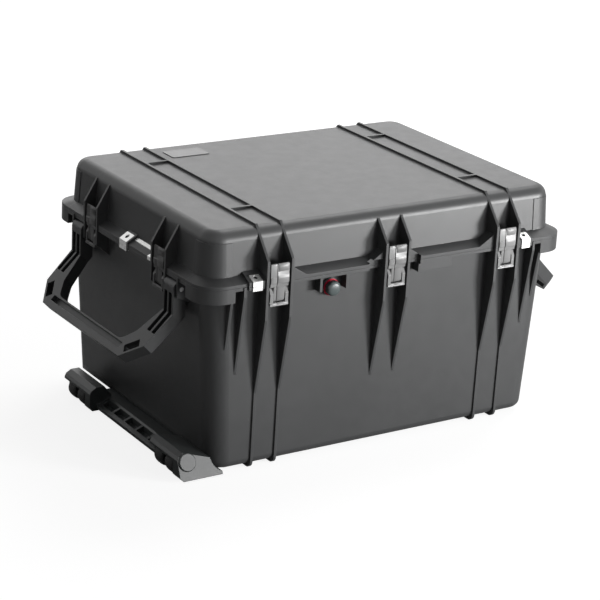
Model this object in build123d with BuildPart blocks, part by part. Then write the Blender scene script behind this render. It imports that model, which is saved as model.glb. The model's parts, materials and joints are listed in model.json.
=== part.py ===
from build123d import *
from math import atan2, cos, degrees, hypot, radians, sin
import os

# Wheeled hard transport case with a hinged, latched lid. Millimetres, +Z up.
# X runs along the case and the wheels are at -X. The front with three latches
# faces -Y. The floor is Z = 0 and the origin is the centre of the footprint.

os.makedirs("parts", exist_ok=True)

# ---------------------------------------------------------------- driving sizes
# How far a cutting body runs past the face that it opens
overcut = 1.0

# Rim, where the lid and the base meet
rim_length = 778.0
rim_width = 566.0
rim_corner = 46.0
rim_thickness = 5.6
parting_height = 350.3
parting_gap = 0.3
rim_slope_height = 9.0
rim_slope_inset = 0.6

# Base shell
underside_height = 6.0
base_draft_x = 23.1
base_draft_y = 4.1
bottom_corner = 34.0
base_flange_x = 20.4
base_flange_y = 18.4
base_top_corner = 40.0
base_wall = 6.5
base_floor = 7.0
bottom_edge_radius = 15.0
undercut_radius = 33.0
cavity_edge = 8.0

# Lid shell
lid_flange_x = 17.2
lid_flange_y = 21.2
lid_foot_corner = 38.0
lid_height = 92.7
lid_draft_inset = 6.1
lid_wall = 6.0
lid_edge_radius = 20.0

# Gusset fins and ridges
fin_thickness = 5.0
front_fin_proud = 7.0
end_fin_proud = 2.5
outer_bay_setback = 145.5
bay_half_spacing = 24.3
end_bay_setback = 155.5
ridge_thickness = 5.0
base_ridge_proud = 3.0
lid_ridge_proud = 4.0
lid_ridge_setback = 40.0
lid_kink_rise = 41.2
lid_apex_drop = 13.0
lid_end_kink_rise = 37.7
cross_rib_offset = 150.0
base_kink_drop = 64.3
base_tip_height = 143.0
base_centre_tip_height = 136.0
foot_edge_radius = 14.0
end_fin_kink_drop = 32.3
end_fin_length = 22.0
outer_rib_setback = 80.0
outer_rib_proud = 2.0
outer_rib_kink_drop = 17.3
outer_rib_length = 148.0
corner_rib_setback = 59.0
corner_rib_inset = 2.0
corner_rib_drop = 116.3

# Rim details
flare_length = 32.0
flare_rise = 25.7
pocket_length = 28.0
pocket_depth = 9.0
pocket_drop = 8.3
pocket_rise = 12.7
skirt_depth = 20.0
skirt_corner_length = 62.0
skirt_thickness = 14.0
panel_start = 51.0
panel_end = 123.0
panel_depth = 17.0

# Seal
seal_setback = 15.0
seal_groove_width = 8.0
seal_groove_depth = 4.5
seal_thickness = 2.0
seal_side_gap = 0.3
tongue_width = 3.0
seal_running_gap = 0.3

# Hinge
hinge_pin_radius = 2.0
knuckle_radius = 6.0
hinge_leaf_gap = 0.5
running_clearance = 0.05
knuckle_room = 0.6

# Latch, in distances inward from the outer plane of its two fins
latch_width = 36.0
latch_plate = 4.0
latch_face_inset = 1.0
latch_bay_depth = 9.0
keeper_inset = 11.0
keeper_rise = 21.7
keeper_radius = 2.5
lever_pin_inset = 10.0
lever_pin_drop = 13.3
lever_pin_radius = 2.0
claw_pin_drop = 12.36
claw_pin_offset = 0.44
claw_pin_radius = 1.6
claw_top_rise = 14.0
claw_hook_gap = 0.7
claw_hook_thickness = 4.8
claw_hook_side_gap = 0.5
claw_shoulder_rise = 7.0
claw_tongue_width = 23.0
claw_tongue_gap = 0.5
claw_knuckle_radius = 3.5
claw_tail_drop = 8.2
claw_step = 1.2
claw_step_rise = 2.0
lever_length = 26.0
lever_bar_height = 4.5
lever_boss_radius = 5.0

# Hasps
hasp_setback = 102.0
hasp_width = 19.0
hasp_sheet = 2.0
hasp_pad_proud = 4.0
hasp_pad_width = 32.0
hasp_pad_rise = 20.7
hasp_nose_rise = 8.2
hasp_hole_radius = 4.0
hasp_hole_inset = 4.0
hasp_lip = 14.0
end_hasp_width = 26.0
strip_start_gap = 2.0
strip_end_gap = 1.7
strip_tab_width = 12.0
strip_sheet = 1.0
strip_low_share = 0.62
end_pad_proud = 1.0
end_hole_inset = 6.0

# Handles at both ends
handle_setback = 91.0
handle_arm_width = 36.0
handle_proud = 6.5
handle_arm_thickness = 25.0
handle_pivot_drop = 20.3
handle_arm_length = 47.0
handle_bend_angle = 46.0
handle_drop = 111.0
handle_grip_depth = 27.0
handle_bar_thickness = 22.0
handle_grip_inset = 74.0
handle_grip_shoulder = 45.0
handle_corner_drop = 72.0
handle_corner_inset = 5.0
handle_shoulder_inset = 51.0
handle_shoulder_drop = 56.0
handle_inner_radius = 22.0
handle_rib = 5.0
handle_channel_depth = 10.0
handle_channel_inset = 60.0
handle_inner_rail = 3.5
handle_outer_band = 12.0
handle_window_length = 34.0
handle_window_width = 16.0
handle_window_rim = 4.0
handle_pin_radius = 4.0
handle_side_gap = 1.7
handle_cheek_thickness = 4.5
handle_cheek_drop = 14.0
handle_cheek_length = 12.0

# Wheel bar along the lower edge of the -X end
wheel_radius = 20.0
wheel_width = 26.0
tyre_edge = 2.5
hub_radius = 14.0
hub_rim = 3.0
hub_boss = 3.0
hub_dish = 4.0
axle_radius = 4.0
axle_bearing = 8.0
axle_proud = 3.0
wheel_room = 2.0
wheel_side_room = 1.5
front_wheel_setback = 83.0
rear_wheel_setback = 147.0
wheel_half_spacing = 19.0
bar_inner_depth = 65.1
bar_top = 26.0
bar_bottom = 8.0
bar_plate_depth = 21.0
bar_face_proud = 5.0
bar_edge_chamfer = 3.0
bar_rail_top = 14.0
bar_rail_width = 8.0
bar_pocket_floor = 11.0
bar_pocket_length = 38.0
bar_pocket_pitch = 44.0
bar_pockets = 5
bar_rear_setback = 21.0
bar_seat_gap = 0.3
pod_bottom = 3.0
pod_top = 49.0
pod_proud = 19.0
pod_crease_proud = 6.0
pod_shoulder = 6.0
pod_lower_chamfer = 6.0
fender_low = 33.0
fender_overhang = 10.0
pod_end_block = 20.0
front_end_block = 30.0
front_pod_rear_length = 47.0
front_pod_toe_length = 67.0
front_pod_brow_length = 48.0
front_pod_seat = 34.0
rear_pod_front_length = 58.0
rear_pod_rear_length = 46.0
rear_pod_depth = 26.0
rear_pod_inner_kink = 30.0
rear_pod_crown_depth = 11.0
bar_cap_radius = 16.5
bar_cap_offset = 1.0
bar_cap_height = 33.0
bar_cap_proud = 3.0
bar_cap_edge = 1.5

# Purge valve
valve_position = -126.0
valve_drop = 29.3
valve_hole_radius = 9.0
valve_flange_radius = 16.0
valve_flange = 5.0
valve_ring_radius = 18.0
valve_ring = 3.0
valve_ring_room = 3.0
valve_knob_radius = 14.0
valve_knob_depth = 12.0
valve_knob_edge = 2.0
valve_knob_flutes = 8
valve_knob_cover = 2.5
valve_spindle_radius = 4.0
valve_rib_spread = 27.0
valve_rib_drop = 3.0
valve_seat_gap = 0.3
valve_nut_radius = 13.0
valve_nut_depth = 5.0

# Label plate, bare
label_length = 79.0
label_width = 44.0
label_offset_x = 84.0
label_offset_y = 52.0
label_thickness = 1.2
label_corner = 4.0
label_edge = 0.4

# Corner pads on the lid
pad_proud = 1.2
corner_pad_length = 67.0
corner_pad_width = 69.0

# ------------------------------------------------------------- worked-out sizes
base_top = parting_height - parting_gap / 2
lid_foot = parting_height + parting_gap / 2
lid_top = parting_height + lid_height
slope_top = lid_foot + rim_thickness + rim_slope_height
rim_reach_x = rim_length / 2
rim_reach_y = rim_width / 2
base_top_length = rim_length - 2 * base_flange_x
base_top_width = rim_width - 2 * base_flange_y
bottom_length = base_top_length - 2 * base_draft_x
bottom_width = base_top_width - 2 * base_draft_y
lid_foot_length = rim_length - 2 * lid_flange_x
lid_foot_width = rim_width - 2 * lid_flange_y
front_fin_reach = rim_reach_y + front_fin_proud
end_fin_reach = rim_reach_x + end_fin_proud
bay_pitch = rim_reach_x - outer_bay_setback
end_bay_offset = rim_reach_y - end_bay_setback
lid_ridge_end = rim_reach_y - lid_ridge_setback
lid_kink_height = parting_height + lid_kink_rise
lid_centre_apex = lid_top - lid_apex_drop
lid_end_kink_height = parting_height + lid_end_kink_rise
base_kink_height = parting_height - base_kink_drop
end_fin_kink_height = parting_height - end_fin_kink_drop
end_fin_tip_height = end_fin_kink_height - end_fin_length
outer_rib_position = rim_reach_x - outer_rib_setback
outer_rib_reach = rim_reach_y + outer_rib_proud
outer_rib_kink = parting_height - outer_rib_kink_drop
outer_rib_tip = outer_rib_kink - outer_rib_length
corner_rib_position = rim_reach_x - corner_rib_setback
corner_rib_reach = rim_reach_y - corner_rib_inset
corner_rib_tip = parting_height - corner_rib_drop
flare_height = parting_height + flare_rise
pocket_low = parting_height - pocket_drop
pocket_high = parting_height + pocket_rise
keeper_height = parting_height + keeper_rise
lever_pin_height = parting_height - lever_pin_drop
claw_top_height = keeper_height + claw_top_rise
claw_shoulder_height = lever_pin_height + claw_shoulder_rise
claw_step_height = keeper_height + claw_step_rise
lever_bottom_height = lever_pin_height - lever_length
hasp_position = rim_reach_x - hasp_setback
hasp_pad_reach = rim_reach_y + hasp_pad_proud
hasp_pad_top = parting_height + hasp_pad_rise
hasp_pad_nose = parting_height + hasp_nose_rise
hasp_hole_reach = rim_reach_y - hasp_hole_inset
end_pad_reach = rim_reach_x + end_pad_proud
end_hole_reach = rim_reach_x - end_hole_inset
handle_width = 2 * (rim_reach_y - handle_setback)
handle_outer_face = rim_reach_x + handle_proud
handle_pivot_height = parting_height - handle_pivot_drop
handle_bend_height = handle_pivot_height - handle_arm_length
handle_grip_inner = handle_width - 2 * handle_grip_inset
handle_grip_outer = handle_width - 2 * handle_grip_shoulder
handle_shoulder_inner = handle_width - 2 * handle_shoulder_inset
handle_grip_channel = handle_width - 2 * handle_channel_inset
handle_cheek_kink = handle_pivot_height - handle_cheek_drop
handle_cheek_tip = handle_cheek_kink - handle_cheek_length
axle_line = rim_reach_x + axle_proud
front_wheel_position = front_wheel_setback - rim_reach_y
rear_wheel_position = rim_reach_y - rear_wheel_setback
bar_inner_edge = axle_line - bar_inner_depth
bar_plate_edge = axle_line - bar_plate_depth
bar_outer_face = axle_line + bar_face_proud
bar_rear_end = rear_wheel_position - bar_rear_setback
pod_overhang = axle_line + pod_proud
pod_crease = axle_line + pod_crease_proud
front_pod_back = front_wheel_position + front_pod_rear_length
front_pod_toe = front_wheel_position - front_pod_toe_length
front_pod_brow = front_wheel_position - front_pod_brow_length
rear_pod_front = rear_wheel_position - rear_pod_front_length
rear_pod_back = rear_wheel_position + rear_pod_rear_length
rear_pod_inner_face = axle_line - rear_pod_depth
rear_pod_crown = axle_line - rear_pod_crown_depth
bar_cap_position = axle_line + bar_cap_offset
valve_height = parting_height - valve_drop
valve_rib_low = valve_height - valve_rib_drop
pad_start_x = rim_reach_x - corner_pad_length
pad_start_y = rim_reach_y - corner_pad_width
label_centre = (label_offset_x - bay_pitch, lid_ridge_end - label_offset_y)
hinge_line = front_fin_reach - knuckle_radius
hinge_leaf_offset = bay_half_spacing - fin_thickness - hinge_leaf_gap
fin_face = bay_half_spacing + fin_thickness / 2
bay_clear_width = 2 * bay_half_spacing - fin_thickness
strip_start = end_hasp_width / 2 + hasp_sheet + strip_start_gap
strip_end = end_bay_offset - fin_face - strip_end_gap
pair_positions = [side * bay_pitch + fin for side in (-1, 1) for fin in (-bay_half_spacing, bay_half_spacing)]
hinge_stations = (-bay_pitch, 0, bay_pitch)
rim_seams_x = (-bay_pitch - bay_clear_width / 2, -bay_pitch + bay_clear_width / 2, -bay_clear_width / 2)
rim_seams_y = (-end_bay_offset - bay_clear_width / 2, -end_bay_offset + bay_clear_width / 2)
rim_corner_x = rim_reach_x - skirt_corner_length
rim_corner_y = rim_reach_y - skirt_corner_length

# Each latch: name, centre of its bay on the outer plane of the fins, outward direction
latch_bays = {
    "front_left": ((-bay_pitch, -front_fin_reach), (0, -1, 0)),
    "front_centre": ((0, -front_fin_reach), (0, -1, 0)),
    "front_right": ((bay_pitch, -front_fin_reach), (0, -1, 0)),
    "left_front": ((-end_fin_reach, -end_bay_offset), (-1, 0, 0)),
    "left_rear": ((-end_fin_reach, end_bay_offset), (-1, 0, 0)),
    "right_front": ((end_fin_reach, -end_bay_offset), (1, 0, 0)),
    "right_rear": ((end_fin_reach, end_bay_offset), (1, 0, 0)),
}


def between(low, high, share):
    return low + share * (high - low)


def base_reach_y(height):
    share = (height - underside_height) / (base_top - underside_height)
    return between(bottom_width, base_top_width, share) / 2


def base_reach_x(height):
    share = (height - underside_height) / (base_top - underside_height)
    return between(bottom_length, base_top_length, share) / 2


def lid_reach_y(height):
    return lid_foot_width / 2 - lid_draft_inset * (height - lid_foot) / (lid_top - lid_foot)


def lid_reach_x(height):
    return lid_foot_length / 2 - lid_draft_inset * (height - lid_foot) / (lid_top - lid_foot)


def rounded_outline(height, length, width, corner):
    """Rounded rectangle lying at a height."""
    with BuildSketch(Plane.XY.offset(height)) as outline:
        RectangleRounded(length, width, corner)
    return outline.sketch


def base_outline(height, inset):
    share = (height - underside_height) / (base_top - underside_height)
    return rounded_outline(
        height,
        2 * (base_reach_x(height) - inset),
        2 * (base_reach_y(height) - inset),
        between(bottom_corner, base_top_corner, share) - inset,
    )


def lid_outline(height, inset):
    share = (height - lid_foot) / (lid_top - lid_foot)
    return rounded_outline(
        height,
        2 * (lid_reach_x(height) - inset),
        2 * (lid_reach_y(height) - inset),
        lid_foot_corner - lid_draft_inset * share - inset,
    )


def rim_ring(height, setback, width):
    """Flat ring that follows the rim, centred a setback inside its edge."""
    with BuildSketch(Plane.XY.offset(height)) as ring:
        RectangleRounded(
            rim_length - 2 * setback + width,
            rim_width - 2 * setback + width,
            rim_corner - setback + width / 2,
        )
        RectangleRounded(
            rim_length - 2 * setback - width,
            rim_width - 2 * setback - width,
            rim_corner - setback - width / 2,
            mode=Mode.SUBTRACT,
        )
    return ring.sketch


def lengthwise_plate(position, outline, thickness=fin_thickness, mode=Mode.ADD):
    """Plate standing across X, cut to an outline of (y, z) points."""
    with BuildSketch(Plane.YZ.offset(position - thickness / 2)) as profile:
        with BuildLine():
            Polyline(*outline, close=True)
        make_face()
    extrude(profile.sketch, amount=thickness, mode=mode)


def crosswise_plate(position, outline, thickness=fin_thickness, mode=Mode.ADD):
    """Plate standing across Y, cut to an outline of (x, z) points."""
    with BuildSketch(Plane.XZ.offset(-position - thickness / 2)) as profile:
        with BuildLine():
            Polyline(*outline, close=True)
        make_face()
    extrude(profile.sketch, amount=thickness, mode=mode)


def lengthwise_rod(start, end, y, z, radius, mode=Mode.ADD):
    """Round rod or bore along X."""
    with BuildSketch(Plane.YZ.offset(start)) as section:
        with Locations((y, z)):
            Circle(radius)
    extrude(section.sketch, amount=end - start, mode=mode)


def crosswise_rod(start, end, x, z, radius, mode=Mode.ADD):
    """Round rod or bore along Y."""
    with BuildSketch(Plane.XZ.offset(-end)) as section:
        with Locations((x, z)):
            Circle(radius)
    extrude(section.sketch, amount=end - start, mode=mode)


def block(x_range, y_range, z_range, mode=Mode.ADD):
    """Rectangular block between two limits on each axis."""
    with BuildSketch(Plane.XY.offset(z_range[0])) as footprint:
        with Locations(((x_range[0] + x_range[1]) / 2, (y_range[0] + y_range[1]) / 2)):
            Rectangle(x_range[1] - x_range[0], y_range[1] - y_range[0])
    extrude(footprint.sketch, amount=z_range[1] - z_range[0], mode=mode)


def bay_plane(bay):
    """Upright plane through the middle of a latch bay: local x points outward, local y up."""
    (x, y), outward = latch_bays[bay]
    return Plane(origin=(x, y, 0), x_dir=outward, z_dir=(outward[1], -outward[0], 0))


def bay_profile(bay, outline, width, mode=Mode.ADD):
    """Bar across a latch bay, cut to an outline of (outward, z) points."""
    with BuildSketch(bay_plane(bay)) as profile:
        with BuildLine():
            Polyline(*outline, close=True)
        make_face()
    extrude(profile.sketch, amount=width / 2, both=True, mode=mode)


def bay_rod(bay, inset, height, radius, width, mode=Mode.ADD):
    """Round pin or bore across a latch bay."""
    with BuildSketch(bay_plane(bay)) as section:
        with Locations((-inset, height)):
            Circle(radius)
    extrude(section.sketch, amount=width / 2, both=True, mode=mode)


def rim_bay_cut(bay, low, high):
    """Room in the rim for a latch."""
    bay_profile(
        bay,
        [(-latch_bay_depth, low), (-latch_bay_depth, high), (latch_plate, high), (latch_plate, low)],
        bay_clear_width,
        Mode.SUBTRACT,
    )


def rim_runs(rim):
    """Rim parted at both sides of every latch room and at the start of its corners."""
    cuts_x = sorted(side * cut for side in (-1, 1) for cut in (rim_corner_x, *rim_seams_x))
    cuts_y = sorted(side * cut for side in (-1, 1) for cut in (rim_corner_y, *rim_seams_y))
    for cut in [Plane.YZ.offset(x) for x in cuts_x] + [Plane.XZ.offset(y) for y in cuts_y]:
        rim = split(rim, bisect_by=cut, keep=Keep.BOTH)
    return rim


def save(piece, name):
    piece.label = name
    export_step(piece, "parts/" + name + ".step")


# -------------------------------------------------------------------- base shell
undercut_height = underside_height + undercut_radius
undercut_line = base_reach_x(undercut_height) - undercut_radius


def end_undercut(radius):
    """Round the lower edge of the wheel end, where the wheel bar tucks in."""
    with BuildSketch(Plane.XZ.offset(-rim_reach_y)) as corner:
        with Locations((-undercut_line, undercut_height)):
            Rectangle(2 * undercut_radius, 2 * undercut_radius, align=(Align.MAX, Align.MAX))
            Circle(radius, mode=Mode.SUBTRACT)
    extrude(corner.sketch, amount=rim_width, mode=Mode.SUBTRACT)


with BuildPart() as base_cavity:
    loft(
        [base_outline(underside_height + base_floor, base_wall), base_outline(base_top + overcut, base_wall)],
        ruled=True,
    )
    chamfer(base_cavity.faces().sort_by(Axis.Z)[0].edges(), cavity_edge)
    end_undercut(undercut_radius - base_wall)

# Ridge hoop: down the front, under the case as a foot, and up the back
hoop_top = base_reach_y(base_tip_height) + base_ridge_proud
hoop_low = base_reach_y(foot_edge_radius) + base_ridge_proud
base_root_y = bottom_width / 2 - base_wall


def mirrored(outline):
    return [(-across, height) for across, height in outline]


def base_fin(reach, kink, tip, tip_proud=0.0):
    """Outline of a front fin of the base, from the rim down to its tip on the wall."""
    return [
        (-reach, base_top),
        (-reach, kink),
        (-base_reach_y(tip) - tip_proud, tip),
        (-base_root_y, tip),
        (-base_root_y, base_top),
    ]


def base_end_fin(side, kink, tip):
    return [
        (side * end_fin_reach, base_top),
        (side * end_fin_reach, kink),
        (side * base_reach_x(tip), tip),
        (side * bottom_length / 2, tip),
        (side * bottom_length / 2, base_top),
    ]


pair_fin = base_fin(front_fin_reach, base_kink_height, base_tip_height, base_ridge_proud)
centre_fin = base_fin(front_fin_reach, base_kink_height, base_centre_tip_height)

with BuildPart() as base_tub:
    loft([base_outline(underside_height, 0), base_outline(base_top, 0)], ruled=True)
    fillet(base_tub.faces().sort_by(Axis.Z)[0].edges(), bottom_edge_radius)
    end_undercut(undercut_radius)

with BuildPart() as base_body:
    add(base_tub.part)
    extrude(rounded_outline(base_top - rim_thickness, rim_length, rim_width, rim_corner), amount=rim_thickness)
    for x in pair_positions:
        with BuildSketch(Plane.YZ.offset(x - ridge_thickness / 2)) as hoop:
            with BuildLine():
                Polyline(
                    (-hoop_top, base_tip_height),
                    (-hoop_low, 0),
                    (hoop_low, 0),
                    (hoop_top, base_tip_height),
                    close=True,
                )
            make_face()
            fillet(hoop.vertices().group_by(Axis.Y)[0], foot_edge_radius)
        extrude(hoop.sketch, amount=ridge_thickness)
    # Deeper panel beside the middle latch
    block(
        (panel_start, panel_end),
        (-rim_reach_y, -bottom_width / 2),
        (base_top - rim_thickness - panel_depth, base_top - rim_thickness),
    )
    # Deeper skirt round the four corners
    with BuildSketch(Plane.XY.offset(base_top - rim_thickness - skirt_depth)) as skirt:
        RectangleRounded(rim_length, rim_width, rim_corner)
        RectangleRounded(
            rim_length - 2 * skirt_thickness,
            rim_width - 2 * skirt_thickness,
            rim_corner - skirt_thickness,
            mode=Mode.SUBTRACT,
        )
        with GridLocations(rim_length - skirt_corner_length, rim_width - skirt_corner_length, 2, 2):
            Rectangle(skirt_corner_length, skirt_corner_length, mode=Mode.INTERSECT)
    extrude(skirt.sketch, amount=skirt_depth)
    # Pads under the hasps
    for side in (-1, 1):
        block(
            (side * hasp_position - hasp_pad_width / 2, side * hasp_position + hasp_pad_width / 2),
            (-hasp_pad_reach, -bottom_width / 2),
            (base_top - rim_thickness, base_top),
        )
        block(
            sorted((side * end_pad_reach, side * bottom_length / 2)),
            (-end_hasp_width / 2 - hasp_sheet, end_hasp_width / 2 + hasp_sheet),
            (base_top - rim_thickness, base_top),
        )


def padlock_bores(low, high):
    """Holes through the rims under all four hasps."""
    with BuildSketch(Plane.XY.offset(low)) as bores:
        with Locations((-hasp_position, -hasp_hole_reach), (hasp_position, -hasp_hole_reach)):
            Circle(hasp_hole_radius)
        with Locations((-end_hole_reach, 0), (end_hole_reach, 0)):
            Circle(hasp_hole_radius)
    extrude(bores.sketch, amount=high - low, mode=Mode.SUBTRACT)


def rim_pockets(low, high):
    """Pockets in the rim on both sides of the middle latch."""
    for side in (-1, 1):
        block(
            sorted((side * fin_face, side * (fin_face + pocket_length))),
            (-rim_reach_y - overcut, -rim_reach_y + pocket_depth),
            (low, high),
            Mode.SUBTRACT,
        )


def knuckle_slots(offset):
    """Room for the other half's knuckles, at an offset on both sides of each hinge."""
    slot_half = fin_thickness / 2 + hinge_leaf_gap
    for x in hinge_stations:
        for leaf in (x - offset, x + offset):
            lengthwise_rod(
                leaf - slot_half,
                leaf + slot_half,
                hinge_line,
                parting_height,
                knuckle_radius + knuckle_room,
                Mode.SUBTRACT,
            )


def hinge_bores(radius):
    for x in hinge_stations:
        lengthwise_rod(x - fin_face, x + fin_face, hinge_line, parting_height, radius, Mode.SUBTRACT)


with BuildPart() as base_moulding:
    add(base_body.part)
    add(base_cavity.part, mode=Mode.SUBTRACT)
    # Tongue that presses into the lid seal
    extrude(
        rim_ring(base_top, seal_setback, tongue_width),
        amount=lid_foot + seal_groove_depth - seal_thickness - seal_running_gap - base_top,
    )
    rim_pockets(pocket_low, base_top + overcut)
    knuckle_slots(bay_half_spacing)
    hinge_bores(hinge_pin_radius)
    for bay in latch_bays:
        rim_bay_cut(bay, base_top - rim_thickness - overcut, base_top + overcut)
    padlock_bores(base_top - rim_thickness - overcut, base_top + overcut)
    crosswise_rod(
        -base_top_width / 2 - overcut,
        -bottom_width / 2 + base_wall + overcut,
        valve_position,
        valve_height,
        valve_hole_radius,
        Mode.SUBTRACT,
    )

# The rim stands apart from the wall that it runs round
with BuildPart() as base_rim_space:
    block(
        (-end_fin_reach, end_fin_reach),
        (-front_fin_reach, front_fin_reach),
        (base_top - rim_thickness - skirt_depth, slope_top),
    )
    add(base_tub.part, mode=Mode.SUBTRACT)

with BuildPart() as base_shell:
    add(base_moulding.part)
    add(base_rim_space.part, mode=Mode.SUBTRACT)
save(base_shell.part, "base_shell")
save(rim_runs(base_moulding.part & base_rim_space.part), "base_rim")

# Front fins in pairs round each latch, short ribs towards the corners and beside the valve
with BuildPart() as base_fins_front:
    for x in pair_positions:
        lengthwise_plate(x, pair_fin)
    for side in (-1, 1):
        lengthwise_plate(side * bay_half_spacing, centre_fin)
        lengthwise_plate(side * outer_rib_position, base_fin(outer_rib_reach, outer_rib_kink, outer_rib_tip))
        lengthwise_plate(
            side * corner_rib_position, base_fin(corner_rib_reach, base_top - rim_thickness, corner_rib_tip)
        )
        valve_rib = valve_position + side * valve_rib_spread
        block(
            (valve_rib - fin_thickness / 2, valve_rib + fin_thickness / 2),
            (-corner_rib_reach, -base_root_y),
            (valve_rib_low, base_top - rim_thickness),
        )
    add(base_body.part, mode=Mode.SUBTRACT)
    for bay in ("front_left", "front_centre", "front_right"):
        bay_rod(bay, lever_pin_inset, lever_pin_height, lever_pin_radius, 2 * bay_half_spacing, Mode.SUBTRACT)
save(base_fins_front.part, "base_fins_front")

# Rear fins with the base's hinge knuckles
with BuildPart() as base_fins_rear:
    for x in hinge_stations:
        for leaf in (x - hinge_leaf_offset, x + hinge_leaf_offset):
            lengthwise_plate(leaf, mirrored(pair_fin if x else centre_fin))
            lengthwise_rod(
                leaf - fin_thickness / 2, leaf + fin_thickness / 2, hinge_line, parting_height, knuckle_radius
            )
    add(base_body.part, mode=Mode.SUBTRACT)
    hinge_bores(hinge_pin_radius)
save(base_fins_rear.part, "base_fins_rear")

# Fins round the end latches and the outer cheeks that carry the handle pins
handle_pivot_x = handle_outer_face - handle_arm_thickness / 2
handle_arm_mid = (handle_width - handle_arm_width) / 2
handle_pin_half = handle_arm_width / 2 + handle_side_gap + handle_cheek_thickness
handle_cheek_mid = handle_width / 2 + handle_side_gap + handle_cheek_thickness / 2


def handle_pin_rods(radius, mode=Mode.ADD):
    for side in (-1, 1):
        for arm in (-handle_arm_mid, handle_arm_mid):
            crosswise_rod(
                arm - handle_pin_half,
                arm + handle_pin_half,
                side * handle_pivot_x,
                handle_pivot_height,
                radius,
                mode,
            )


with BuildPart() as base_fins_ends:
    for side in (-1, 1):
        for bay in (-end_bay_offset, end_bay_offset):
            for fin in (bay - bay_half_spacing, bay + bay_half_spacing):
                crosswise_plate(fin, base_end_fin(side, end_fin_kink_height, end_fin_tip_height))
        for cheek in (-handle_cheek_mid, handle_cheek_mid):
            crosswise_plate(
                cheek, base_end_fin(side, handle_cheek_kink, handle_cheek_tip), handle_cheek_thickness
            )
    add(base_body.part, mode=Mode.SUBTRACT)
    for bay in ("left_front", "left_rear", "right_front", "right_rear"):
        bay_rod(bay, lever_pin_inset, lever_pin_height, lever_pin_radius, 2 * bay_half_spacing, Mode.SUBTRACT)
    handle_pin_rods(handle_pin_radius, Mode.SUBTRACT)
save(base_fins_ends.part, "base_fins_ends")

# --------------------------------------------------------------------- lid shell
ridge_top = lid_top + lid_ridge_proud
lid_root_y = lid_foot_width / 2 - 2 * lid_wall
lid_root_x = lid_foot_length / 2 - 2 * lid_wall
lid_pair_fin = [
    (-front_fin_reach, lid_foot),
    (-front_fin_reach, lid_kink_height),
    (-lid_ridge_end, ridge_top),
    (-lid_ridge_end, lid_foot),
]
lid_centre_fin = [
    (-front_fin_reach, lid_foot),
    (-front_fin_reach, lid_kink_height),
    (-lid_reach_y(lid_centre_apex), lid_centre_apex),
    (-lid_root_y, lid_centre_apex),
    (-lid_root_y, lid_foot),
]


def lid_end_fin(side):
    return [
        (side * end_fin_reach, lid_foot),
        (side * end_fin_reach, lid_end_kink_height),
        (side * lid_reach_x(lid_centre_apex), lid_centre_apex),
        (side * lid_root_x, lid_centre_apex),
        (side * lid_root_x, lid_foot),
    ]


def rim_flare(inner, outer):
    """Ramp on the lid rim that rises towards a fin's face at x = inner."""
    with BuildSketch(Plane.XZ.offset(lid_root_y)) as ramp:
        with BuildLine():
            Polyline(
                (inner, lid_foot),
                (inner, flare_height),
                (outer, lid_foot + rim_thickness),
                (outer, lid_foot),
                close=True,
            )
        make_face()
    extrude(ramp.sketch, amount=rim_reach_y - lid_root_y)


with BuildPart() as lid_cavity:
    loft([lid_outline(lid_foot - overcut, lid_wall), lid_outline(lid_top - lid_wall, lid_wall)], ruled=True)
    chamfer(lid_cavity.faces().sort_by(Axis.Z)[-1].edges(), cavity_edge)

with BuildPart() as lid_pads:
    loft([lid_outline(lid_foot + rim_thickness, -pad_proud), lid_outline(lid_top - lid_edge_radius, -pad_proud)])
    with BuildSketch(Plane.XY.offset(lid_foot)) as pad_areas:
        pad_length = rim_reach_x - pad_start_x
        pad_width = rim_reach_y - pad_start_y
        with GridLocations(2 * pad_start_x + pad_length, 2 * pad_start_y + pad_width, 2, 2):
            Rectangle(pad_length, pad_width)
    extrude(pad_areas.sketch, amount=lid_height, mode=Mode.INTERSECT)

with BuildPart() as lid_dome:
    loft([lid_outline(lid_foot, 0), lid_outline(lid_top, 0)], ruled=True)
    fillet(lid_dome.faces().sort_by(Axis.Z)[-1].edges(), lid_edge_radius)
    add(lid_pads.part)

with BuildPart() as lid_body:
    add(lid_dome.part)
    extrude(rounded_outline(lid_foot, rim_length, rim_width, rim_corner), amount=rim_thickness)
    loft(
        [
            rounded_outline(lid_foot + rim_thickness, rim_length, rim_width, rim_corner),
            rounded_outline(
                slope_top,
                2 * (lid_reach_x(slope_top) - rim_slope_inset),
                2 * (lid_reach_y(slope_top) - rim_slope_inset),
                lid_foot_corner - rim_slope_inset,
            ),
        ],
        ruled=True,
    )
    # Ridges over the top, with cross ribs between each pair
    for x in pair_positions:
        block(
            (x - ridge_thickness / 2, x + ridge_thickness / 2),
            (-lid_ridge_end, lid_ridge_end),
            (lid_top - lid_wall, ridge_top),
        )
    for x in (-bay_pitch, bay_pitch):
        for y in (-cross_rib_offset, cross_rib_offset):
            block(
                (x - bay_half_spacing, x + bay_half_spacing),
                (y - ridge_thickness / 2, y + ridge_thickness / 2),
                (lid_top - lid_wall, ridge_top),
            )
    # Ramps on the rim beside the fins
    for x in hinge_stations:
        for side in (-1, 1):
            if abs(x + side * bay_half_spacing) < bay_pitch:
                rim_flare(x + side * fin_face, x + side * (fin_face + flare_length))
    # Pads under the hasps
    for side in (-1, 1):
        lengthwise_plate(
            side * hasp_position,
            [
                (-hasp_pad_reach, lid_foot),
                (-hasp_pad_reach, hasp_pad_nose),
                (-lid_reach_y(hasp_pad_top), hasp_pad_top),
                (-lid_root_y, hasp_pad_top),
                (-lid_root_y, lid_foot),
            ],
            hasp_pad_width,
        )
        crosswise_plate(
            0,
            [
                (side * end_pad_reach, lid_foot),
                (side * end_pad_reach, hasp_pad_nose),
                (side * lid_reach_x(hasp_pad_top), hasp_pad_top),
                (side * lid_root_x, hasp_pad_top),
                (side * lid_root_x, lid_foot),
            ],
            end_hasp_width + 2 * hasp_sheet,
        )

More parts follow.
